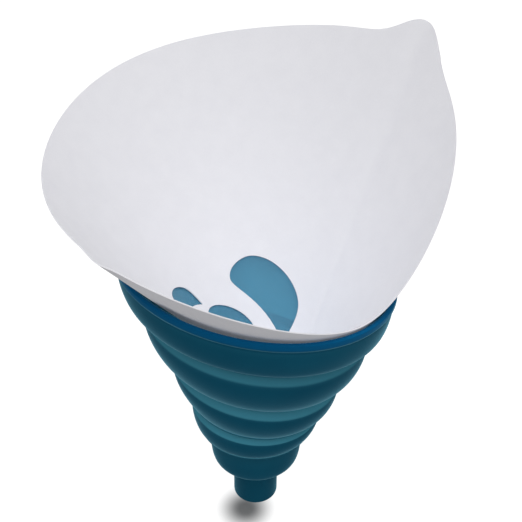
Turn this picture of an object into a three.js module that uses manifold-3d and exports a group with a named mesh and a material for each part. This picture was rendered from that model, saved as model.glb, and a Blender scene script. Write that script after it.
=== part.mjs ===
// A paint strainer: a rolled paper cone with filter windows, resting in a collapsible
// silicone funnel that stands on the flat foot of its spout.
// Millimetres, +Z up. The origin is under the middle of the object, on the surface it stands on.

import * as THREE from 'three';
import { mergeVertices } from 'three/addons/utils/BufferGeometryUtils.js';
import Module from 'manifold-3d';

const wasm = await Module();
wasm.setup();

const DEG = Math.PI / 180;

// Funnel: one silicone moulding of five stacked tiers over a straight spout.
// A tier falls from its crown to its lip along a superellipse; fullness below 0.5 squares it.
const SPOUT_RADIUS = 9.1;
const SPOUT_HEIGHT = 21;
const BORE_RADIUS = 6.9;
const FOOT_ROUND = 1;
const WALL = 1.8;
const RIM_WALL = 2.4;
const RIM_FLARE = 0.9;
const RIM_DEPTH = 3.2;
const TIERS = [
  { crown: 49.4, lip: 45.1, height: 17.4, fullness: 0.58 },
  { crown: 41.9, lip: 32.9, height: 25.1, fullness: 0.75 },
  { crown: 32.4, lip: 25.9, height: 19.8, fullness: 0.9 },
  { crown: 25.4, lip: 22.2, height: 13.7, fullness: 0.7 },
  { crown: 18.1, lip: 11.8, height: 17.3, fullness: 0.12 },
];

// The fold between two tiers: a groove under the lip, then the next tier's round shoulder.
const GROOVE_DEPTH = 1.5;
const GROOVE_GAP = 0.9;
const SHOULDER_DROP = 2.6;

// The bellows are pulled out unevenly, so the upper tiers sit with the +X side down.
const LEAN_ANGLE = 8.6 * DEG;
const LEAN_FROM = 38;
const LEAN_FULL = 60;

// Paper cone: a flat blank rolled up and glued, standing in the funnel a little askew.
const PAPER = 0.35;
const CONE_HALF_ANGLE = 33 * DEG;
const CONE_LEAN_X = -5.1 * DEG;
const CONE_LEAN_Y = -5.5 * DEG;
const APEX_X = 13;
const APEX_Y = 5.3;
const TIP_CUT = 5;
const SEAT_GAP = 0.35;

// Cut edge of the blank, as a distance from the cone's tip that swings round the cone.
const EDGE_MEAN = 121;
const EDGE_SWINGS = [
  { turns: 1, size: 32.2, at: 117 * DEG },
  { turns: 2, size: 10.3, at: 50.6 * DEG },
  { turns: 3, size: 3.5, at: 25.6 * DEG },
];

// Two creases, left from when the strainer lay folded flat; one ends in a raised ear.
const CREASE_AT = 42.8 * DEG;
const CREASE_WIDTH = 4 * DEG;
const CREASE_RISE = 0.45 * DEG;
const EAR_HEIGHT = 10;
const EAR_WIDTH = 8 * DEG;

// The blank's ends lap over each other beside the crease with the ear.
const SEAM_LAP = 9 * DEG;
const SEAM_STEP = 0.6 * DEG;

// Comma windows on the flat blank: the tip's distance from the cone's tip and its direction
// on the blank, the turn of the comma about its own tip, and its scale. A comma on both
// panels is repeated on the front one, handed the other way about the crease.
const COMMA = { belly: [15.5, -8.8], crown: [37.8, 8.5], head: [29.8, 18.3] };
const COMMAS = [
  { reach: 21, at: 52 * DEG, turn: 0, scale: 1, both: false },
  { reach: 18.2, at: 85.7 * DEG, turn: -5.7 * DEG, scale: 0.85, both: true },
  { reach: 63.7, at: 115.8 * DEG, turn: -118.8 * DEG, scale: 0.68, both: true },
];
const CUTTER_REACH = 4;

// Filter gauze: a thin nylon cone bonded outside the paper behind the windows.
const GAUZE = 0.25;
const GAUZE_GAP = 0.3;
const GAUZE_LENGTH = 71.5;

const FUNNEL_FACETS = 48;
const CONE_FACETS = 96;
const TIER_STEPS = 5;
const CONE_ROWS = 4;
const COMMA_STEPS = 8;

const silicone = new THREE.MeshStandardMaterial({ color: 0x1a6c8c, roughness: 0.45, metalness: 0 });
const paper = new THREE.MeshStandardMaterial({ color: 0xf1f0f4, roughness: 0.85, metalness: 0 });
const nylon = new THREE.MeshStandardMaterial({ color: 0xcfdbe2, roughness: 0.6, metalness: 0 });

const rimTop = SPOUT_HEIGHT + TIERS.reduce((sum, tier) => sum + tier.height, 0);

// Outer outline of the funnel from the rim down to the foot, as [radius, height] points.
function outerOutline() {
  const points = [[TIERS[0].crown + RIM_FLARE, rimTop], [TIERS[0].crown + RIM_FLARE, rimTop - 1]];
  let top = rimTop;
  TIERS.forEach((tier, index) => {
    const bottom = top - tier.height;
    const shoulder = index === 0 ? RIM_DEPTH : SHOULDER_DROP;
    if (index > 0) {
      const neck = tier.crown - GROOVE_DEPTH;
      points.push([neck, top], [neck, top - GROOVE_GAP / 2]);
      points.push([tier.crown - 0.3 * GROOVE_DEPTH, top - 0.45 * SHOULDER_DROP]);
    }
    const fall = tier.height - shoulder - (index < TIERS.length - 1 ? GROOVE_GAP : 0);
    for (let step = 0; step <= TIER_STEPS; step += 1) {
      const turn = (step / TIER_STEPS) * (Math.PI / 2);
      const share = step === TIER_STEPS ? 0 : Math.cos(turn) ** (2 * tier.fullness);
      const radius = tier.lip + (tier.crown - tier.lip) * share;
      points.push([radius, top - shoulder - fall * Math.sin(turn)]);
    }
    top = bottom;
  });
  points.push([SPOUT_RADIUS, SPOUT_HEIGHT - 1]);
  points.push([SPOUT_RADIUS, FOOT_ROUND], [SPOUT_RADIUS - 0.3 * FOOT_ROUND, 0.3 * FOOT_ROUND]);
  points.push([SPOUT_RADIUS - FOOT_ROUND, 0]);
  return points.map(([radius, height]) => new THREE.Vector2(radius, height));
}

// Distance from a point to the nearest stretch of an outline.
function distanceTo(outline, point) {
  let nearest = Infinity;
  for (let index = 1; index < outline.length; index += 1) {
    const start = outline[index - 1];
    const along = outline[index].clone().sub(start);
    const share = point.clone().sub(start).dot(along) / along.lengthSq();
    const foot = start.clone().addScaledVector(along, THREE.MathUtils.clamp(share, 0, 1));
    nearest = Math.min(nearest, foot.distanceTo(point));
  }
  return nearest;
}

// Inner outline from the bore up to the mouth: the outer one moved in by the wall, keeping
// only the points that leave the full wall, so the folds of the bellows show inside as ridges.
function innerOutline(outer) {
  const points = [new THREE.Vector2(BORE_RADIUS, 0), new THREE.Vector2(BORE_RADIUS, SPOUT_HEIGHT)];
  for (let index = outer.length - 2; index > 1; index -= 1) {
    const along = outer[index + 1].clone().sub(outer[index - 1]).normalize();
    const moved = outer[index].clone().add(new THREE.Vector2(along.y, -along.x).multiplyScalar(WALL));
    const clear = distanceTo(outer, moved) > WALL * 0.97;
    if (clear && moved.y > SPOUT_HEIGHT + WALL && moved.y < rimTop - RIM_DEPTH) points.push(moved);
  }
  const mouth = TIERS[0].crown + RIM_FLARE - RIM_WALL;
  points.push(new THREE.Vector2(mouth, rimTop - 1), new THREE.Vector2(mouth, rimTop));
  return points;
}

// How far the ring of silicone at a height is tipped.
function leanAt(height) {
  return LEAN_ANGLE * THREE.MathUtils.smoothstep(height, LEAN_FROM, LEAN_FULL);
}

function funnel() {
  const outer = outerOutline();
  const outline = [...innerOutline(outer), ...outer];
  outline.push(outline[0].clone());
  const lathe = new THREE.LatheGeometry(outline.reverse(), FUNNEL_FACETS);
  lathe.rotateX(Math.PI / 2);
  const places = lathe.getAttribute('position');
  for (let index = 0; index < places.count; index += 1) {
    const x = places.getX(index);
    const height = places.getZ(index);
    const lean = leanAt(height);
    places.setX(index, x * Math.cos(lean));
    places.setZ(index, height - x * Math.sin(lean));
  }
  return closed(lathe);
}

// One body with shared corners and faces that point out.
function closed(geometry) {
  geometry.deleteAttribute('normal');
  geometry.deleteAttribute('uv');
  const merged = mergeVertices(geometry, 1e-4);
  const at = (index) => new THREE.Vector3().fromBufferAttribute(merged.getAttribute('position'), index);
  const corners = merged.getIndex();
  const kept = [];
  let volume = 0;
  for (let index = 0; index < corners.count; index += 3) {
    const [a, b, c] = [corners.getX(index), corners.getX(index + 1), corners.getX(index + 2)];
    if (a !== b && b !== c && c !== a) {
      kept.push(a, b, c);
      volume += at(a).dot(at(b).cross(at(c)));
    }
  }
  if (volume < 0) kept.reverse();
  merged.setIndex(kept);
  return merged;
}

function angleFrom(angle, reference) {
  return THREE.MathUtils.euclideanModulo(angle - reference + Math.PI, 2 * Math.PI) - Math.PI;
}

function bump(angle, reference, width) {
  return Math.exp(-((angleFrom(angle, reference) / width) ** 2));
}

// A place on the cone, in the cone's own frame: tip at the origin, axis along +Z. The last
// value is the distance inwards from the paper's inner face.
function onCone(reach, angle, inwards) {
  const creases = bump(angle, CREASE_AT, CREASE_WIDTH) + bump(angle, CREASE_AT + Math.PI, CREASE_WIDTH);
  const slope = CONE_HALF_ANGLE + CREASE_RISE * creases;
  const radius = reach * Math.sin(slope) - inwards * Math.cos(slope);
  const height = reach * Math.cos(slope) + inwards * Math.sin(slope);
  return new THREE.Vector3(radius * Math.cos(angle), radius * Math.sin(angle), height);
}

function edgeReach(angle) {
  const swing = EDGE_SWINGS.reduce((sum, { turns, size, at }) => sum + size * Math.cos(turns * (angle - at)), 0);
  return EDGE_MEAN + swing + EAR_HEIGHT * bump(angle, CREASE_AT, EAR_WIDTH);
}

// The paper is double where the blank's ends lap.
function paperThickness(angle) {
  const past = -angleFrom(angle, CREASE_AT);
  return past >= 0 && past <= SEAM_LAP ? 2 * PAPER : PAPER;
}

// A closed sheet on the cone between two faces, each given as a distance inwards.
function coneSheet(angles, startReach, endReach, innerFace, outerFace, rows) {
  const places = [];
  const corners = [];
  const columns = angles.length;
  const layer = (rows + 1) * columns;
  [innerFace, outerFace].forEach((face) => {
    for (let row = 0; row <= rows; row += 1) {
      angles.forEach((angle) => {
        const reach = startReach + (endReach(angle) - startReach) * (row / rows);
        places.push(...onCone(reach, angle, face(angle)).toArray());
      });
    }
  });
  const quad = (a, b, c, d) => corners.push(a, b, c, a, c, d);
  for (let column = 0; column < columns; column += 1) {
    const next = (column + 1) % columns;
    for (let row = 0; row < rows; row += 1) {
      const low = row * columns;
      const high = low + columns;
      quad(low + column, high + column, high + next, low + next);
      quad(layer + low + column, layer + low + next, layer + high + next, layer + high + column);
    }
    const edge = rows * columns;
    quad(column, next, layer + next, layer + column);
    quad(edge + column, layer + edge + column, layer + edge + next, edge + next);
  }
  const geometry = new THREE.BufferGeometry();
  geometry.setAttribute('position', new THREE.Float32BufferAttribute(places, 3));
  geometry.setIndex(corners);
  return closed(geometry);
}

function coneAngles() {
  const even = Array.from({ length: CONE_FACETS }, (_, index) => CREASE_AT + (index / CONE_FACETS) * 2 * Math.PI);
  const seam = [SEAM_STEP, 0, -SEAM_LAP, -SEAM_LAP - SEAM_STEP].map((shift) => CREASE_AT + 2 * Math.PI + shift);
  const apart = (angle) => seam.every((other) => Math.abs(angleFrom(angle, other)) > SEAM_STEP / 2);
  return [...even.filter(apart), ...seam].map((angle) => angle % (2 * Math.PI)).sort((a, b) => a - b);
}

// A comma lying flat, its tip at the origin and its head up along +X.
function commaShape() {
  const { belly, crown, head } = COMMA;
  const shape = new THREE.Shape();
  shape.moveTo(0, 0);
  shape.bezierCurveTo(0.33 * belly[0], 0.45 * belly[1], 0.65 * belly[0], belly[1], ...belly);
  shape.bezierCurveTo(1.55 * belly[0], belly[1], 0.97 * crown[0], -0.18 * crown[1], ...crown);
  shape.bezierCurveTo(1.02 * crown[0], 1.65 * crown[1], 1.16 * head[0], 1.05 * head[1], ...head);
  shape.bezierCurveTo(0.86 * head[0], 0.95 * head[1], 0.65 * head[0], 0.21 * head[1], 0, 0);
  return shape;
}

// A cutter for one window: the comma laid on the blank, then rolled up with it.
function windowCutter({ reach, at, turn, scale }, onFront) {
  const depth = 2 * CUTTER_REACH;
  const cutter = new THREE.ExtrudeGeometry(commaShape(), { depth, bevelEnabled: false, curveSegments: COMMA_STEPS });
  const places = cutter.getAttribute('position');
  for (let index = 0; index < places.count; index += 1) {
    const flat = new THREE.Vector2(places.getX(index), places.getY(index)).multiplyScalar(scale);
    flat.rotateAround(new THREE.Vector2(), turn).add(new THREE.Vector2(reach, 0));
    const rolled = (Math.atan2(flat.y, flat.x) + at) / Math.sin(CONE_HALF_ANGLE);
    const angle = onFront ? 2 * CREASE_AT - rolled : rolled;
    const place = onCone(flat.length(), angle, places.getZ(index) - CUTTER_REACH);
    places.setXYZ(index, place.x, place.y, place.z);
  }
  return solid(closed(cutter));
}

function solid(geometry) {
  const vertProperties = new Float32Array(geometry.getAttribute('position').array);
  const triVerts = new Uint32Array(geometry.getIndex().array);
  return new wasm.Manifold(new wasm.Mesh({ numProp: 3, vertProperties, triVerts }));
}

function geometryOf(body) {
  const mesh = body.getMesh();
  const geometry = new THREE.BufferGeometry();
  geometry.setAttribute('position', new THREE.BufferAttribute(new Float32Array(mesh.vertProperties), 3));
  geometry.setIndex(new THREE.BufferAttribute(new Uint32Array(mesh.triVerts), 1));
  return geometry;
}

function paperCone() {
  const sheet = coneSheet(coneAngles(), TIP_CUT, edgeReach, () => 0, (angle) => -paperThickness(angle), CONE_ROWS);
  let body = solid(sheet);
  COMMAS.forEach((comma) => {
    body = body.subtract(windowCutter(comma, false));
    if (comma.both) body = body.subtract(windowCutter(comma, true));
  });
  return geometryOf(body);
}

function filterGauze() {
  const near = -2 * PAPER - GAUZE_GAP;
  return coneSheet(coneAngles(), TIP_CUT, () => GAUZE_LENGTH, () => near, () => near - GAUZE, 1);
}

// Lowest height at which the cone, tipped as it is, still clears the funnel's mouth.
function seatHeight(axis) {
  const mouth = (TIERS[0].crown + RIM_FLARE - RIM_WALL) * Math.cos(Math.PI / FUNNEL_FACETS);
  const lean = leanAt(rimTop);
  const steepness = Math.cos(CONE_HALF_ANGLE) ** 2;
  let lowest = -Infinity;
  for (let step = 0; step < 360; step += 1) {
    const x = mouth * Math.cos(step * DEG);
    const y = mouth * Math.sin(step * DEG);
    const sideways = new THREE.Vector3(x * Math.cos(lean) - APEX_X, y - APEX_Y, 0);
    const across = sideways.dot(axis);
    const a = axis.z ** 2 - steepness;
    const b = 2 * across * axis.z;
    const c = across ** 2 - steepness * sideways.lengthSq();
    const rise = (-b + Math.sqrt(b * b - 4 * a * c)) / (2 * a);
    lowest = Math.max(lowest, rimTop - x * Math.sin(lean) - rise);
  }
  return lowest + (2 * PAPER + SEAT_GAP) / Math.sin(CONE_HALF_ANGLE);
}

function node(name, geometry, material) {
  geometry.computeVertexNormals();
  const mesh = new THREE.Mesh(geometry, material);
  mesh.name = name;
  return mesh;
}

// The strainer's own frame, tipped and set down in the funnel's mouth.
const axis = new THREE.Vector3(Math.sin(CONE_LEAN_X), Math.sin(CONE_LEAN_Y), 1).normalize();
const side = new THREE.Vector3(0, 1, 0).cross(axis).normalize();
const strainer = new THREE.Group();
strainer.quaternion.setFromRotationMatrix(new THREE.Matrix4().makeBasis(side, axis.clone().cross(side), axis));
strainer.position.set(APEX_X, APEX_Y, seatHeight(axis));
strainer.add(node('paper_cone', paperCone(), paper), node('filter_gauze', filterGauze(), nylon));

const model = new THREE.Group();
model.add(node('funnel', funnel(), silicone), strainer);
model.updateMatrixWorld(true);
const middle = new THREE.Box3().setFromObject(model, true).getCenter(new THREE.Vector3());
model.position.set(-middle.x, -middle.y, 0);

export default model;
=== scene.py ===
# %% [markdown]
# # A paint strainer in its funnel
# A rolled paper cone with comma-shaped filter windows rests in a collapsible silicone funnel,
# which stands on the end of its spout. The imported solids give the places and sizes; this script
# makes the finer shapes and the finishes on top of them. All lengths are written in millimetres
# and turned into metres when a piece is finished.

import math

import bmesh
import bpy
from mathutils import Matrix, Vector


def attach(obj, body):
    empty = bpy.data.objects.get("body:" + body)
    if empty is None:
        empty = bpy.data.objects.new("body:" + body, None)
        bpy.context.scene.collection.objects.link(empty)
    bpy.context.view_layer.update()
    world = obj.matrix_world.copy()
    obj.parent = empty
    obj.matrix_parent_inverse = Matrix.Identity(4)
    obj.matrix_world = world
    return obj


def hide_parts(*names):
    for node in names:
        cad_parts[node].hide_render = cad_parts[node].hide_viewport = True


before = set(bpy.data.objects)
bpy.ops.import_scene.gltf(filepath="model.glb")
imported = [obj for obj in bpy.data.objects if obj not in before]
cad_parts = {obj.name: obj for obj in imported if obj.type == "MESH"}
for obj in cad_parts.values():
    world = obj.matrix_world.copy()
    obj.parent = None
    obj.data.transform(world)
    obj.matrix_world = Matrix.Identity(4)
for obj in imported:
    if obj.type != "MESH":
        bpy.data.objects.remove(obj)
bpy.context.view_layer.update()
MM = 0.001
print("solids:", sorted(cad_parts))

# %% [markdown]
# ## Camera
# The photograph was taken from a little above, about 30 degrees down. The place and the lens
# come from fitting the funnel's rings and outline, so each piece falls where the photograph has it.

# %% Camera
FUNNEL_AXIS = Vector((1.195, -7.333, 0))
CAMERA_BACK = 222.6
CAMERA_HEIGHT = 242.4
CAMERA_DOWN = 0.529
CAMERA_YAW = -0.006
CAMERA_ROLL = 0.011
LENS = 50.4

camera_data = bpy.data.cameras.new("camera")
camera_data.lens = LENS
camera_data.sensor_width = 36
camera_data.sensor_fit = "HORIZONTAL"
camera_data.clip_start = 0.01
camera = bpy.data.objects.new("camera", camera_data)
bpy.context.scene.collection.objects.link(camera)
turn_down = Matrix.Rotation(math.pi / 2 - CAMERA_DOWN, 4, "X")
turn_round = Matrix.Rotation(CAMERA_YAW, 4, "Z")
turn_level = Matrix.Rotation(CAMERA_ROLL, 4, "Z")
camera_place = (FUNNEL_AXIS + Vector((0, -CAMERA_BACK, CAMERA_HEIGHT))) * MM
camera.matrix_world = Matrix.Translation(camera_place) @ turn_round @ turn_down @ turn_level
bpy.context.scene.camera = camera
print("camera at", [round(value, 4) for value in camera.location])

# %% [markdown]
# ## Helpers
# Every piece ends the same way: its mesh is scaled to metres, its faces are turned outwards and
# shaded smooth, and the object rides on the one body and stands for its solid.


# %% Finish a piece
def faces_out(shape):
    """Turns the faces of a closed shape outwards."""
    bmesh.ops.recalc_face_normals(shape, faces=shape.faces)
    if shape.calc_volume(signed=True) < 0:
        bmesh.ops.reverse_faces(shape, faces=shape.faces)


def finished(name, shape, node, material, sharp=40):
    """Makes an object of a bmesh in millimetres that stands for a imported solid."""
    bmesh.ops.scale(shape, vec=(MM, MM, MM), verts=shape.verts)
    faces_out(shape)
    for face in shape.faces:
        face.smooth = True
    for edge in shape.edges:
        turned = edge.calc_face_angle(0) > math.radians(sharp)
        edge.smooth = not turned
    mesh = bpy.data.meshes.new(name)
    shape.to_mesh(mesh)
    shape.free()
    mesh.materials.append(material)
    piece = bpy.data.objects.new(name, mesh)
    bpy.context.scene.collection.objects.link(piece)
    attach(piece, "root")
    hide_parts(node)
    print(name, "faces:", len(mesh.polygons))


# %% Node helpers
def new_material(name):
    """An empty Principled material, with its tree and shader."""
    material = bpy.data.materials.new(name)
    material.use_nodes = True
    tree = material.node_tree
    return material, tree, tree.nodes["Principled BSDF"]


def add_node(tree, kind, **values):
    """Adds a node and sets its input sockets by name."""
    node = tree.nodes.new(kind)
    for socket, value in values.items():
        node.inputs[socket.replace("_", " ")].default_value = value
    return node


# %% [markdown]
# ## Silicone
# The funnel is satin teal silicone. It is a little cloudy, so its colour drifts
# slowly and its gloss is uneven, and its thin rim lets light through and looks bluer there.
# Faces that point up are painted paler, a painted highlight for the light from above.
# The mottling is a group with noise in Object coordinates; the rim reads an attribute that
# the funnel's own mesh carries.


# %% Silicone material
def silicone_group():
    """Cloudy colour, uneven gloss and a fine moulded grain."""
    tree = bpy.data.node_groups.new("cloudy_silicone", "ShaderNodeTree")
    tree.interface.new_socket("Deep", in_out="INPUT", socket_type="NodeSocketColor")
    tree.interface.new_socket("Pale", in_out="INPUT", socket_type="NodeSocketColor")
    tree.interface.new_socket("Color", in_out="OUTPUT", socket_type="NodeSocketColor")
    tree.interface.new_socket("Roughness", in_out="OUTPUT", socket_type="NodeSocketFloat")
    tree.interface.new_socket("Height", in_out="OUTPUT", socket_type="NodeSocketFloat")
    given = tree.nodes.new("NodeGroupInput")
    made = tree.nodes.new("NodeGroupOutput")
    place = tree.nodes.new("ShaderNodeTexCoord")
    clouds = add_node(tree, "ShaderNodeTexNoise", Scale=55, Detail=4, Roughness=0.6)
    grain = add_node(tree, "ShaderNodeTexNoise", Scale=1400, Detail=2, Roughness=0.5)
    blend = tree.nodes.new("ShaderNodeMix")
    blend.data_type = "RGBA"
    gloss = add_node(tree, "ShaderNodeMapRange")
    gloss.inputs["To Min"].default_value = 0.60
    gloss.inputs["To Max"].default_value = 0.74
    link = tree.links.new
    link(place.outputs["Object"], clouds.inputs["Vector"])
    link(place.outputs["Object"], grain.inputs["Vector"])
    link(clouds.outputs["Fac"], blend.inputs["Factor"])
    link(given.outputs["Deep"], blend.inputs["A"])
    link(given.outputs["Pale"], blend.inputs["B"])
    link(blend.outputs["Result"], made.inputs["Color"])
    link(clouds.outputs["Fac"], gloss.inputs["Value"])
    link(gloss.outputs["Result"], made.inputs["Roughness"])
    link(grain.outputs["Fac"], made.inputs["Height"])
    return tree


DEEP_TEAL = (0.004, 0.078, 0.140, 1)
PALE_TEAL = (0.007, 0.108, 0.182, 1)
# paler teal for the painted highlight on faces that point up
PAINTED_HIGHLIGHT_TEAL = (0.070, 0.330, 0.450, 1)
RIM_BLUE = (0.002, 0.110, 0.270, 1)

silicone, tree, shader = new_material("teal_silicone")
cloudy = tree.nodes.new("ShaderNodeGroup")
cloudy.node_tree = silicone_group()
cloudy.inputs["Deep"].default_value = DEEP_TEAL
cloudy.inputs["Pale"].default_value = PALE_TEAL
thin = tree.nodes.new("ShaderNodeAttribute")
thin.attribute_name = "thin_edge"
rim_tint = tree.nodes.new("ShaderNodeMix")
rim_tint.data_type = "RGBA"
rim_tint.inputs["B"].default_value = RIM_BLUE
facing = tree.nodes.new("ShaderNodeNewGeometry")
parts = tree.nodes.new("ShaderNodeSeparateXYZ")
# painted highlight: the more a face points up, the more its colour is mixed toward the paler teal
facing_up_share = add_node(tree, "ShaderNodeMapRange")
facing_up_share.interpolation_type = "SMOOTHSTEP"
facing_up_share.inputs["From Min"].default_value = -0.1
facing_up_share.inputs["From Max"].default_value = 0.4
painted_highlight = tree.nodes.new("ShaderNodeMix")
painted_highlight.data_type = "RGBA"
painted_highlight.inputs["B"].default_value = PAINTED_HIGHLIGHT_TEAL
bump = add_node(tree, "ShaderNodeBump", Strength=0.15, Distance=0.0002)
tree.links.new(facing.outputs["Normal"], parts.inputs["Vector"])
tree.links.new(parts.outputs["Z"], facing_up_share.inputs["Value"])
tree.links.new(facing_up_share.outputs["Result"], painted_highlight.inputs["Factor"])
tree.links.new(cloudy.outputs["Color"], painted_highlight.inputs["A"])
tree.links.new(thin.outputs["Fac"], rim_tint.inputs["Factor"])
tree.links.new(painted_highlight.outputs["Result"], rim_tint.inputs["A"])
tree.links.new(rim_tint.outputs["Result"], shader.inputs["Base Color"])
tree.links.new(cloudy.outputs["Roughness"], shader.inputs["Roughness"])
tree.links.new(cloudy.outputs["Height"], bump.inputs["Height"])
tree.links.new(bump.outputs["Normal"], shader.inputs["Normal"])
shader.inputs["Specular IOR Level"].default_value = 0.015
shader.inputs["Sheen Weight"].default_value = 1.0
shader.inputs["Sheen Roughness"].default_value = 0.3
shader.inputs["Sheen Tint"].default_value = (0.30, 0.75, 0.95, 1)

# %% [markdown]
# ## Funnel
# The real funnel is one moulding: five round-shouldered tiers that fold into each other, over a
# straight spout. A lathe-turned shape suits it, so a closed outline is spun round. Each tier
# falls from its crown to its lip along a superellipse. The lip ends in a thin bead over a small
# groove, and corners are rounded by cutting them to short curves.

# %% Funnel sizes
SPOUT_RADIUS = 9.1
SPOUT_HEIGHT = 21
BORE_RADIUS = 6.9
FOOT_ROUND = 1
WALL = 1.3
RIM_WALL = 1.7
RIM_FLARE = 0.9
RIM_DEPTH = 3.2
RIM_BAND = 2.2
GROOVE_DEPTH = 1.5
GROOVE_GAP = 0.9
SHOULDER_DROPS = [RIM_DEPTH, 6.2, 4.4, 3.2, 2.4]
SHOULDER_START = 0.8
SHOULDER_IN = 1.6
LIP_BEAD = 0.5
# crown radius, lip radius, height, fullness
TIERS = [
    (49.4, 45.1, 16.6, 0.52),
    (41.9, 32.9, 25.1, 0.75),
    (32.4, 25.9, 19.8, 0.9),
    (25.4, 22.2, 13.7, 0.7),
    (18.6, 11.8, 17.3, 0.12),
]
RIM_TOP = SPOUT_HEIGHT + sum(tier[2] for tier in TIERS)
TIER_STEPS = 20
BEAD_STEPS = 8
BEAD_FROM = math.radians(100)
BEAD_SWEEP = math.radians(190)
CORNER_REACH = 0.55
SHARP_CORNER = math.radians(14)
THIN_DEPTH = 2.8
THIN_FADE = 1.2
MOUTH_DEPTH = 1.5
WELD = 0.001
FUNNEL_TURNS = 160
print("rim at", RIM_TOP, "mm")


# %% Outline helpers
def rounded(points, reach, cuts=4):
    """Each sharp corner of an outline is cut to a short curve, up to reach from the corner."""
    result = [points[0]]
    for before, corner, after in zip(points, points[1:], points[2:]):
        back = before - corner
        ahead = after - corner
        if back.length * ahead.length == 0 or back.angle(-ahead) < SHARP_CORNER:
            result.append(corner)
            continue
        start = corner + back * min(0.4, reach / max(back.length, 1e-6))
        end = corner + ahead * min(0.4, reach / max(ahead.length, 1e-6))
        for cut in range(cuts + 1):
            share = cut / cuts
            near = start.lerp(corner, share)
            result.append(near.lerp(corner.lerp(end, share), share))
    return result + [points[-1]]


def distance_to(points, place):
    """Distance from a place to the nearest stretch of an outline."""
    nearest = math.inf
    for start, end in zip(points, points[1:]):
        along = end - start
        share = (place - start).dot(along) / max(along.length_squared, 1e-9)
        foot = start + along * min(max(share, 0), 1)
        nearest = min(nearest, (foot - place).length)
    return nearest


# %% Funnel outline
def outer_outline():
    """From the rim down to the foot, as (radius, height)."""
    rim = TIERS[0][0] + RIM_FLARE
    points = [Vector((rim, RIM_TOP)), Vector((rim, RIM_TOP - RIM_BAND))]
    top = RIM_TOP
    for index, (crown, lip, height, fullness) in enumerate(TIERS):
        shoulder = SHOULDER_DROPS[index]
        gap = GROOVE_GAP if index < len(TIERS) - 1 else 0
        if index:
            neck = crown - GROOVE_DEPTH
            points += [Vector((neck, top)), Vector((neck, top - GROOVE_GAP / 2))]
            points.append(Vector((crown - SHOULDER_IN, top - SHOULDER_START)))
        fall = height - shoulder - gap
        end = Vector((lip, top - shoulder - fall))
        for step in range(TIER_STEPS + 1):
            turn = step / TIER_STEPS * math.pi / 2
            radius = lip + (crown - lip) * max(math.cos(turn), 0) ** (2 * fullness)
            place = Vector((radius, top - shoulder - fall * math.sin(turn)))
            if gap == 0 or (place - end).length > LIP_BEAD:
                points.append(place)
        for step in range(BEAD_STEPS + 1 if gap else 0):
            turn = BEAD_FROM - BEAD_SWEEP * step / BEAD_STEPS
            points.append(end + Vector((math.cos(turn), math.sin(turn))) * LIP_BEAD)
        top -= height
    points += [Vector((SPOUT_RADIUS, SPOUT_HEIGHT - 1)), Vector((SPOUT_RADIUS, 0))]
    return points


def inner_outline(outer):
    """From the bore up to the mouth, a wall's thickness inside the outer outline."""
    points = [Vector((BORE_RADIUS, 0)), Vector((BORE_RADIUS, SPOUT_HEIGHT))]
    for index in range(len(outer) - 2, 1, -1):
        along = (outer[index + 1] - outer[index - 1]).normalized()
        moved = outer[index] + Vector((along.y, -along.x)) * WALL
        inside = SPOUT_HEIGHT + WALL < moved.y < RIM_TOP - RIM_DEPTH
        if inside and distance_to(outer, moved) > WALL * 0.97:
            points.append(moved)
    mouth = TIERS[0][0] + RIM_FLARE - RIM_WALL
    points += [Vector((mouth, RIM_TOP - MOUTH_DEPTH)), Vector((mouth, RIM_TOP))]
    return points


outer = outer_outline()
outline = inner_outline(outer) + outer
outline = rounded(outline + [outline[0], outline[1]], CORNER_REACH)[1:-1]
print("outline points:", len(outline))

# %% [markdown]
# The bellows were pulled out unevenly, so the upper tiers lean with one side down. After the
# spin, each ring of the mesh is tipped by an angle that grows between two heights.

# %% Spin and lean
LEAN_ANGLE = math.radians(8.6)
LEAN_FROM = 38
LEAN_FULL = 60


def lean_at(height):
    """How far the ring at a height is tipped."""
    share = min(max((height - LEAN_FROM) / (LEAN_FULL - LEAN_FROM), 0), 1)
    return LEAN_ANGLE * share * share * (3 - 2 * share)


shape = bmesh.new()
corners = [shape.verts.new((place.x, 0, place.y)) for place in outline]
ring = [shape.edges.new(pair) for pair in zip(corners, corners[1:] + corners[:1])]
bmesh.ops.spin(
    shape, geom=corners + ring, cent=(0, 0, 0), axis=(0, 0, 1), dvec=(0, 0, 0),
    angle=2 * math.pi, steps=FUNNEL_TURNS, use_merge=True, use_duplicate=False,
)
bmesh.ops.remove_doubles(shape, verts=shape.verts, dist=WELD)
thin_edge = shape.verts.layers.float.new("thin_edge")
for vert in shape.verts:
    x, y, height = vert.co
    vert[thin_edge] = min(max((height - (RIM_TOP - THIN_DEPTH)) / THIN_FADE, 0), 1)
    lean = lean_at(height)
    vert.co = (x * math.cos(lean), y, height - x * math.sin(lean))
bmesh.ops.translate(shape, vec=FUNNEL_AXIS, verts=shape.verts)
finished("silicone_funnel", shape, "funnel", silicone)

# %% [markdown]
# ## Paper
# The cone is smooth white filter paper. Close up it has short soft fibres and a faint cloudy
# look where the sheet is a little thicker, so the paper group mixes a fine stretched noise and
# a broad one, both very weak, and gives a shallow bump.


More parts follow.
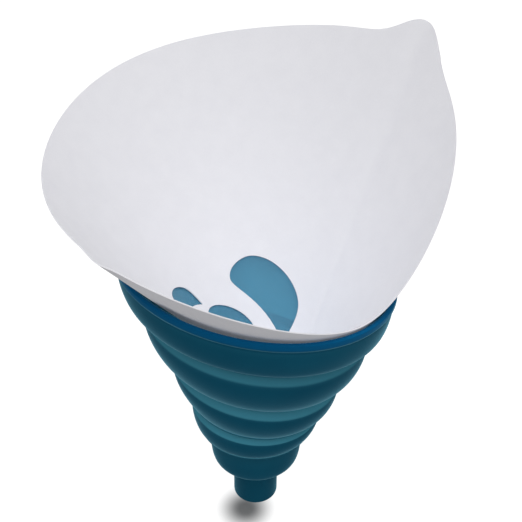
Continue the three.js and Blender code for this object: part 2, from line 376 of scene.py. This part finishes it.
# %% Paper material
def paper_group():
    """Faint clouding and fibres."""
    tree = bpy.data.node_groups.new("paper_fibres", "ShaderNodeTree")
    tree.interface.new_socket("Shade", in_out="INPUT", socket_type="NodeSocketColor")
    tree.interface.new_socket("Light", in_out="INPUT", socket_type="NodeSocketColor")
    tree.interface.new_socket("Color", in_out="OUTPUT", socket_type="NodeSocketColor")
    tree.interface.new_socket("Height", in_out="OUTPUT", socket_type="NodeSocketFloat")
    given = tree.nodes.new("NodeGroupInput")
    made = tree.nodes.new("NodeGroupOutput")
    place = tree.nodes.new("ShaderNodeTexCoord")
    stretch = tree.nodes.new("ShaderNodeMapping")
    stretch.inputs["Scale"].default_value = (1, 1, 0.35)
    fibres = add_node(tree, "ShaderNodeTexNoise", Scale=2200, Detail=3, Roughness=0.65)
    clouds = add_node(tree, "ShaderNodeTexNoise", Scale=160, Detail=3, Roughness=0.5)
    both = tree.nodes.new("ShaderNodeMath")
    both.operation = "ADD"
    half = tree.nodes.new("ShaderNodeMath")
    half.operation = "MULTIPLY"
    half.inputs[1].default_value = 0.5
    blend = tree.nodes.new("ShaderNodeMix")
    blend.data_type = "RGBA"
    link = tree.links.new
    link(place.outputs["Object"], stretch.inputs["Vector"])
    link(stretch.outputs["Vector"], fibres.inputs["Vector"])
    link(place.outputs["Object"], clouds.inputs["Vector"])
    link(fibres.outputs["Fac"], both.inputs[0])
    link(clouds.outputs["Fac"], both.inputs[1])
    link(both.outputs["Value"], half.inputs[0])
    link(half.outputs["Value"], blend.inputs["Factor"])
    link(given.outputs["Shade"], blend.inputs["A"])
    link(given.outputs["Light"], blend.inputs["B"])
    link(blend.outputs["Result"], made.inputs["Color"])
    link(fibres.outputs["Fac"], made.inputs["Height"])
    return tree


paper, tree, shader = new_material("filter_paper")
fibres = tree.nodes.new("ShaderNodeGroup")
fibres.node_tree = paper_group()
fibres.inputs["Shade"].default_value = (0.76, 0.76, 0.80, 1)
fibres.inputs["Light"].default_value = (0.86, 0.86, 0.89, 1)
# painted glow: a faint emission stands in for light that comes through the thin sheet
shader.inputs["Emission Color"].default_value = (0.98, 0.96, 1.0, 1)
shader.inputs["Emission Strength"].default_value = 0.08
bump = add_node(tree, "ShaderNodeBump", Strength=0.25, Distance=0.0001)
tree.links.new(fibres.outputs["Color"], shader.inputs["Base Color"])
tree.links.new(fibres.outputs["Height"], bump.inputs["Height"])
tree.links.new(bump.outputs["Normal"], shader.inputs["Normal"])
shader.inputs["Roughness"].default_value = 0.85
shader.inputs["Specular IOR Level"].default_value = 0.2

# %% [markdown]
# ## Paper cone
# The real cone is a flat blank, rolled up and glued along a lap. So each vertex here is first
# given as a distance from the cone's tip, a direction, and a side of the sheet, and is then
# rolled up. The blank's cut edge swings in and out round the cone, two creases remain from when
# it lay folded flat, and one of them ends in a raised ear.

# %% Cone sizes
PAPER = 0.35
HALF_ANGLE = math.radians(33.6)
OVAL = math.radians(1.1)
OVAL_AT = math.radians(-45.3)
LEAN_X = math.radians(-5.7)
LEAN_Y = math.radians(-5.7)
APEX = Vector((13.5, 6.6, 47.5))
TIP_CUT = 5
EDGE_MEAN = 120.4
# turns round the cone, size, direction in degrees
EDGE_SWINGS = [(1, 31.5, 117.1), (2, 10.3, 48.3), (3, 3.3, 19.9), (4, 0.9, 32.5)]
CREASE_AT = math.radians(42.3)
CREASE_WIDTH = math.radians(4)
CREASE_RISE = math.radians(0.45)
EAR_HEIGHT = 10.4
EAR_WIDTH = math.radians(8.5)
SEAM_LAP = math.radians(9)
CONE_TURNS = 480
CONE_ROWS = 48


# %% Roll up a place on the blank
def bump_at(angle, reference, width):
    """A smooth bump round one direction."""
    apart = (angle - reference + math.pi) % (2 * math.pi) - math.pi
    return math.exp(-((apart / width) ** 2))


def on_cone(reach, angle, inwards):
    """A place on the cone, its tip at the origin and its axis along +Z."""
    creases = bump_at(angle, CREASE_AT, CREASE_WIDTH)
    creases += bump_at(angle, CREASE_AT + math.pi, CREASE_WIDTH)
    oval = OVAL * math.cos(2 * (angle - OVAL_AT))
    slope = HALF_ANGLE + oval + CREASE_RISE * creases
    radius = reach * math.sin(slope) - inwards * math.cos(slope)
    height = reach * math.cos(slope) + inwards * math.sin(slope)
    return Vector((radius * math.cos(angle), radius * math.sin(angle), height))


def edge_reach(angle):
    """Distance of the blank's cut edge from the tip."""
    reach = EDGE_MEAN + EAR_HEIGHT * bump_at(angle, CREASE_AT, EAR_WIDTH)
    for turns, size, at in EDGE_SWINGS:
        reach += size * math.cos(turns * (angle - math.radians(at)))
    return reach


def sheet_thickness(angle):
    """The paper is double where the blank's ends lap."""
    past = (CREASE_AT - angle) % (2 * math.pi)
    return 2 * PAPER if past <= SEAM_LAP else PAPER


# %% [markdown]
# The sheet starts as a thin flat washer, which is spun from one short closed strip and so is
# already a closed sheet. Its radius holds the distance from the tip and its height the side of
# the sheet, and both are read when it is rolled up.


# %% Sheet and seat of the cone
def washer(rows):
    """A thin washer: radius 1 to 2 is the share of the reach, height 0 or 1 the side."""
    made = bmesh.new()
    low = [made.verts.new((1 + row / rows, 0, 0)) for row in range(rows + 1)]
    high = [made.verts.new((1 + row / rows, 0, 1)) for row in range(rows, -1, -1)]
    loop = low + high
    strip = [made.edges.new(pair) for pair in zip(loop, loop[1:] + loop[:1])]
    bmesh.ops.spin(
        made, geom=loop + strip, cent=(0, 0, 0), axis=(0, 0, 1), dvec=(0, 0, 0),
        angle=2 * math.pi, steps=CONE_TURNS, use_merge=True, use_duplicate=False,
    )
    return made


def roll_up(made, end_reach, inner_face, thickness):
    """Rolls the washer into a cone between two faces of the sheet."""
    for vert in made.verts:
        angle = math.atan2(vert.co.y, vert.co.x) % (2 * math.pi)
        share = math.hypot(vert.co.x, vert.co.y) - 1
        reach = TIP_CUT + (end_reach(angle) - TIP_CUT) * share
        face = inner_face - vert.co.z * thickness(angle)
        vert.co = on_cone(reach, angle, face)
    return made


axis = Vector((math.sin(LEAN_X), math.sin(LEAN_Y), 1)).normalized()
side = Vector((0, 1, 0)).cross(axis).normalized()
turned = Matrix((side, axis.cross(side), axis)).transposed().to_4x4()
cone_seat = Matrix.Translation(APEX + FUNNEL_AXIS) @ turned
print("cone tip at", [round(value, 1) for value in cone_seat.translation])

# %% [markdown]
# The filter windows are commas stamped out of the flat blank. Each is drawn as four Bezier
# curves, laid on the blank by reach and direction, and rolled up into a short cutter that
# goes through the sheet. A Boolean then cuts the holes.

# %% Comma windows
BELLY = Vector((16.5, -9))
CROWN = Vector((37.1, 6.8))
HEAD = Vector((29.1, 17.2))
# reach of the tip, direction, turn, scale, and whether it is on the front panel too
COMMAS = [(19.5, 53.8, 0, 1, False), (19, 90, -6.7, 0.82, True), (53.5, 94.4, 34.7, 0.56, True)]
COMMA_STEPS = 14
CUTTER_REACH = 4


def curve_points(start, first, second, end):
    """Places along one Bezier curve, without its last."""
    places = []
    for step in range(COMMA_STEPS):
        t = step / COMMA_STEPS
        u = 1 - t
        places.append(start * u**3 + first * 3 * u * u * t + second * 3 * u * t * t + end * t**3)
    return places


def comma_outline():
    """The comma lying flat, tip at the origin, head up along +X."""
    tip = Vector((0, 0))
    down = Vector((0.33 * BELLY.x, 0.45 * BELLY.y))
    points = curve_points(tip, down, Vector((0.65 * BELLY.x, BELLY.y)), BELLY)
    low = Vector((1.55 * BELLY.x, BELLY.y))
    points += curve_points(BELLY, low, Vector((0.97 * CROWN.x, -0.18 * CROWN.y)), CROWN)
    high = Vector((1.02 * CROWN.x, 1.65 * CROWN.y))
    points += curve_points(CROWN, high, Vector((1.16 * HEAD.x, 1.05 * HEAD.y)), HEAD)
    back = Vector((0.86 * HEAD.x, 0.95 * HEAD.y))
    points += curve_points(HEAD, back, Vector((0.65 * HEAD.x, 0.21 * HEAD.y)), tip)
    return points


def window_cutter(reach, at, turn, scale, on_front):
    """A comma rolled up with the sheet, through both its faces."""
    made = bmesh.new()
    corners = []
    for place in comma_outline():
        flat = Matrix.Rotation(math.radians(turn), 2) @ (place * scale) + Vector((reach, 0))
        angle = (math.atan2(flat.y, flat.x) + math.radians(at)) / math.sin(HALF_ANGLE)
        if on_front:
            angle = 2 * CREASE_AT - angle
        corners.append(made.verts.new((angle * EDGE_MEAN, flat.length, -CUTTER_REACH)))
    face = made.faces.new(corners)
    bmesh.ops.triangulate(made, faces=[face])
    grown = bmesh.ops.extrude_face_region(made, geom=made.faces[:])["geom"]
    raised = [item for item in grown if isinstance(item, bmesh.types.BMVert)]
    bmesh.ops.translate(made, vec=(0, 0, 2 * CUTTER_REACH), verts=raised)
    for vert in made.verts:
        vert.co = on_cone(vert.co.y, vert.co.x / EDGE_MEAN, vert.co.z)
    faces_out(made)
    return made


# %% Cut the windows out of the rolled sheet
def temporary(name, made):
    """An object for a bmesh that is only used by a Boolean."""
    mesh = bpy.data.meshes.new(name)
    made.to_mesh(mesh)
    made.free()
    item = bpy.data.objects.new(name, mesh)
    bpy.context.scene.collection.objects.link(item)
    return item


sheet = roll_up(washer(CONE_ROWS), edge_reach, 0, sheet_thickness)
faces_out(sheet)
blank = temporary("blank", sheet)
cutters = []
for reach, at, turn, scale, mirrored in COMMAS:
    for on_front in (False, True) if mirrored else (False,):
        cutters.append(temporary("cutter", window_cutter(reach, at, turn, scale, on_front)))
for cutter in cutters:
    hole = blank.modifiers.new("window", "BOOLEAN")
    hole.operation = "DIFFERENCE"
    hole.solver = "MANIFOLD"
    hole.object = cutter
bpy.context.view_layer.update()
print("cutters:", len(cutters))
cut_mesh = bpy.data.meshes.new_from_object(blank.evaluated_get(bpy.context.evaluated_depsgraph_get()))
shape = bmesh.new()
shape.from_mesh(cut_mesh)
for item in cutters + [blank]:
    bpy.data.objects.remove(item)
shape.transform(cone_seat)
finished("paper_strainer", shape, "paper_cone", paper, sharp=30)

# %% [markdown]
# ## Filter gauze
# Behind the windows lies a fine nylon gauze. Its threads are too fine to see one by one from the
# camera, so the funnel shows through it with a pale blue haze. The weave is two crossed waves
# on the gauze's own UV map, which follows the threads round and up the cone.


# %% Gauze material
def weave_group():
    """How much thread covers a place, from a UV map in thread spacings."""
    tree = bpy.data.node_groups.new("gauze_weave", "ShaderNodeTree")
    tree.interface.new_socket("Open", in_out="INPUT", socket_type="NodeSocketFloat")
    tree.interface.new_socket("Closed", in_out="INPUT", socket_type="NodeSocketFloat")
    tree.interface.new_socket("Cover", in_out="OUTPUT", socket_type="NodeSocketFloat")
    given = tree.nodes.new("NodeGroupInput")
    made = tree.nodes.new("NodeGroupOutput")
    uv = tree.nodes.new("ShaderNodeUVMap")
    uv.uv_map = "threads"
    parts = tree.nodes.new("ShaderNodeSeparateXYZ")
    tree.links.new(uv.outputs["UV"], parts.inputs["Vector"])
    waves = []
    for name in ("X", "Y"):
        wave = tree.nodes.new("ShaderNodeMath")
        wave.operation = "PINGPONG"
        wave.inputs[1].default_value = 0.5
        tree.links.new(parts.outputs[name], wave.inputs[0])
        waves.append(wave)
    most = tree.nodes.new("ShaderNodeMath")
    most.operation = "MAXIMUM"
    cover = add_node(tree, "ShaderNodeMapRange")
    cover.inputs["From Min"].default_value = 0.30
    cover.inputs["From Max"].default_value = 0.40
    tree.links.new(waves[0].outputs["Value"], most.inputs[0])
    tree.links.new(waves[1].outputs["Value"], most.inputs[1])
    tree.links.new(most.outputs["Value"], cover.inputs["Value"])
    tree.links.new(given.outputs["Open"], cover.inputs["To Min"])
    tree.links.new(given.outputs["Closed"], cover.inputs["To Max"])
    tree.links.new(cover.outputs["Result"], made.inputs["Cover"])
    return tree


gauze_finish, tree, shader = new_material("nylon_gauze")
weave = tree.nodes.new("ShaderNodeGroup")
weave.node_tree = weave_group()
weave.inputs["Open"].default_value = 0.12
weave.inputs["Closed"].default_value = 0.55
tree.links.new(weave.outputs["Cover"], shader.inputs["Alpha"])
shader.inputs["Base Color"].default_value = (0.16, 0.50, 0.74, 1)
shader.inputs["Roughness"].default_value = 0.5

# %% Gauze cone
GAUZE = 0.12
GAUZE_GAP = 0.06
GAUZE_LENGTH = 71.5
THREAD_SPACING = 0.30

shape = roll_up(washer(8), lambda angle: GAUZE_LENGTH, -2 * PAPER - GAUZE_GAP, lambda angle: GAUZE)
threads = shape.loops.layers.uv.new("threads")
for face in shape.faces:
    middle = face.calc_center_median()
    for loop in face.loops:
        place = loop.vert.co
        angle = math.atan2(place.y, place.x)
        if angle - math.atan2(middle.y, middle.x) > math.pi:
            angle -= 2 * math.pi
        if math.atan2(middle.y, middle.x) - angle > math.pi:
            angle += 2 * math.pi
        along = place.length
        around = angle * math.sin(HALF_ANGLE)
        flat = Vector((along * math.cos(around), along * math.sin(around))) / THREAD_SPACING
        loop[threads].uv = flat
shape.transform(cone_seat)
finished("nylon_gauze", shape, "filter_gauze", gauze_finish)

# %% [markdown]
# ## Floor, world and lamps
# The object stands on a plain white floor under a broad soft light from above, so shoulders that
# face up are light, helped by the silicone's painted highlight, and walls that face the camera are
# deep. Camera, mirror and see-through rays find a dark grey floor lifted to white by a glow, and the
# glow is held back in a spot beside the spout: that spot is a painted shadow, with the lamps' real
# contact shadow inside it. Light that bounces finds a grey floor and a dimmer world, which keeps
# the front of the funnel deep.

# %% Floor
FLOOR_HALF = 3.0
# painted shadow: the floor the camera sees is darker than the one light bounces off, and its white
# glow fades out towards a spot beside the spout, so a dark spot is painted there round the real
# contact shadow
FLOOR_SEEN = (0.30, 0.30, 0.30, 1)
FLOOR_BOUNCE = (0.45, 0.45, 0.45, 1)
PAINTED_SHADOW_MIDDLE = FUNNEL_AXIS + Vector((-4, -12, 0))
PAINTED_SHADOW_CORE = 0.002
PAINTED_SHADOW_EDGE = 0.0145

floor_finish = bpy.data.materials.new("white_floor")
floor_finish.use_nodes = True
tree = floor_finish.node_tree
tree.nodes.clear()
rays = tree.nodes.new("ShaderNodeLightPath")
seen = tree.nodes.new("ShaderNodeMath")
seen.operation = "MAXIMUM"
clear = tree.nodes.new("ShaderNodeMath")
clear.operation = "MAXIMUM"
matt = add_node(tree, "ShaderNodeBsdfDiffuse", Color=FLOOR_SEEN)
dim = add_node(tree, "ShaderNodeBsdfDiffuse", Color=FLOOR_BOUNCE)
place = tree.nodes.new("ShaderNodeTexCoord")
centred = tree.nodes.new("ShaderNodeMapping")
centred.inputs["Location"].default_value = -PAINTED_SHADOW_MIDDLE * MM
away = tree.nodes.new("ShaderNodeVectorMath")
away.operation = "LENGTH"
fade = tree.nodes.new("ShaderNodeMapRange")
fade.interpolation_type = "SMOOTHSTEP"
fade.inputs["From Min"].default_value = PAINTED_SHADOW_CORE
fade.inputs["From Max"].default_value = PAINTED_SHADOW_EDGE
fade.inputs["To Max"].default_value = 0.95
# the white glow, held back near the spot beside the spout: a painted shadow
lift = add_node(tree, "ShaderNodeEmission", Color=(1, 1, 1, 1))
lit = tree.nodes.new("ShaderNodeAddShader")
chosen = tree.nodes.new("ShaderNodeMixShader")
out = tree.nodes.new("ShaderNodeOutputMaterial")
tree.links.new(rays.outputs["Is Camera Ray"], seen.inputs[0])
tree.links.new(rays.outputs["Is Glossy Ray"], seen.inputs[1])
tree.links.new(seen.outputs["Value"], clear.inputs[0])
tree.links.new(rays.outputs["Is Transmission Ray"], clear.inputs[1])
tree.links.new(place.outputs["Object"], centred.inputs["Vector"])
tree.links.new(centred.outputs["Vector"], away.inputs[0])
tree.links.new(away.outputs["Value"], fade.inputs["Value"])
tree.links.new(fade.outputs["Result"], lift.inputs["Strength"])
tree.links.new(matt.outputs["BSDF"], lit.inputs[0])
tree.links.new(lift.outputs["Emission"], lit.inputs[1])
tree.links.new(clear.outputs["Value"], chosen.inputs["Fac"])
tree.links.new(dim.outputs["BSDF"], chosen.inputs[1])
tree.links.new(lit.outputs["Shader"], chosen.inputs[2])
tree.links.new(chosen.outputs["Shader"], out.inputs["Surface"])

ground = bmesh.new()
bmesh.ops.create_grid(ground, x_segments=1, y_segments=1, size=FLOOR_HALF)
floor_mesh = bpy.data.meshes.new("floor")
ground.to_mesh(floor_mesh)
ground.free()
floor_mesh.materials.append(floor_finish)
floor = bpy.data.objects.new("floor", floor_mesh)
bpy.context.scene.collection.objects.link(floor)

# %% World
world = bpy.data.worlds.new("studio")
bpy.context.scene.world = world
world.use_nodes = True
tree = world.node_tree
sky = tree.nodes["Background"]
sky.inputs["Color"].default_value = (1, 1, 1, 1)
rays = tree.nodes.new("ShaderNodeLightPath")
seen = tree.nodes.new("ShaderNodeMath")
seen.operation = "MAXIMUM"
clear = tree.nodes.new("ShaderNodeMath")
clear.operation = "MAXIMUM"
level = add_node(tree, "ShaderNodeMapRange")
level.inputs["To Min"].default_value = 0.34
level.inputs["To Max"].default_value = 1.0
tree.links.new(rays.outputs["Is Camera Ray"], seen.inputs[0])
tree.links.new(rays.outputs["Is Glossy Ray"], seen.inputs[1])
tree.links.new(seen.outputs["Value"], clear.inputs[0])
tree.links.new(rays.outputs["Is Transmission Ray"], clear.inputs[1])
tree.links.new(clear.outputs["Value"], level.inputs["Value"])
tree.links.new(level.outputs["Result"], sky.inputs["Strength"])


# %% Lamps
LAMP_TARGET = (0, 0, 0.1)
LAMP_SIZE = 1.2


def soft_lamp(name, place, target, size, energy):
    """A square softbox at a place, aimed at a target."""
    lamp = bpy.data.lights.new(name, "AREA")
    lamp.size = size
    lamp.energy = energy
    item = bpy.data.objects.new(name, lamp)
    item.location = place
    aim = Vector(target) - Vector(place)
    item.rotation_euler = aim.to_track_quat("-Z", "Y").to_euler()
    bpy.context.scene.collection.objects.link(item)
    return item


soft_lamp("front_top", (0.0, -0.75, 1.3), LAMP_TARGET, LAMP_SIZE, 9)
soft_lamp("overhead", (0.0, 0.1, 1.4), LAMP_TARGET, LAMP_SIZE, 4)

# %% Look settings
bpy.context.scene.view_settings.view_transform = "Standard"
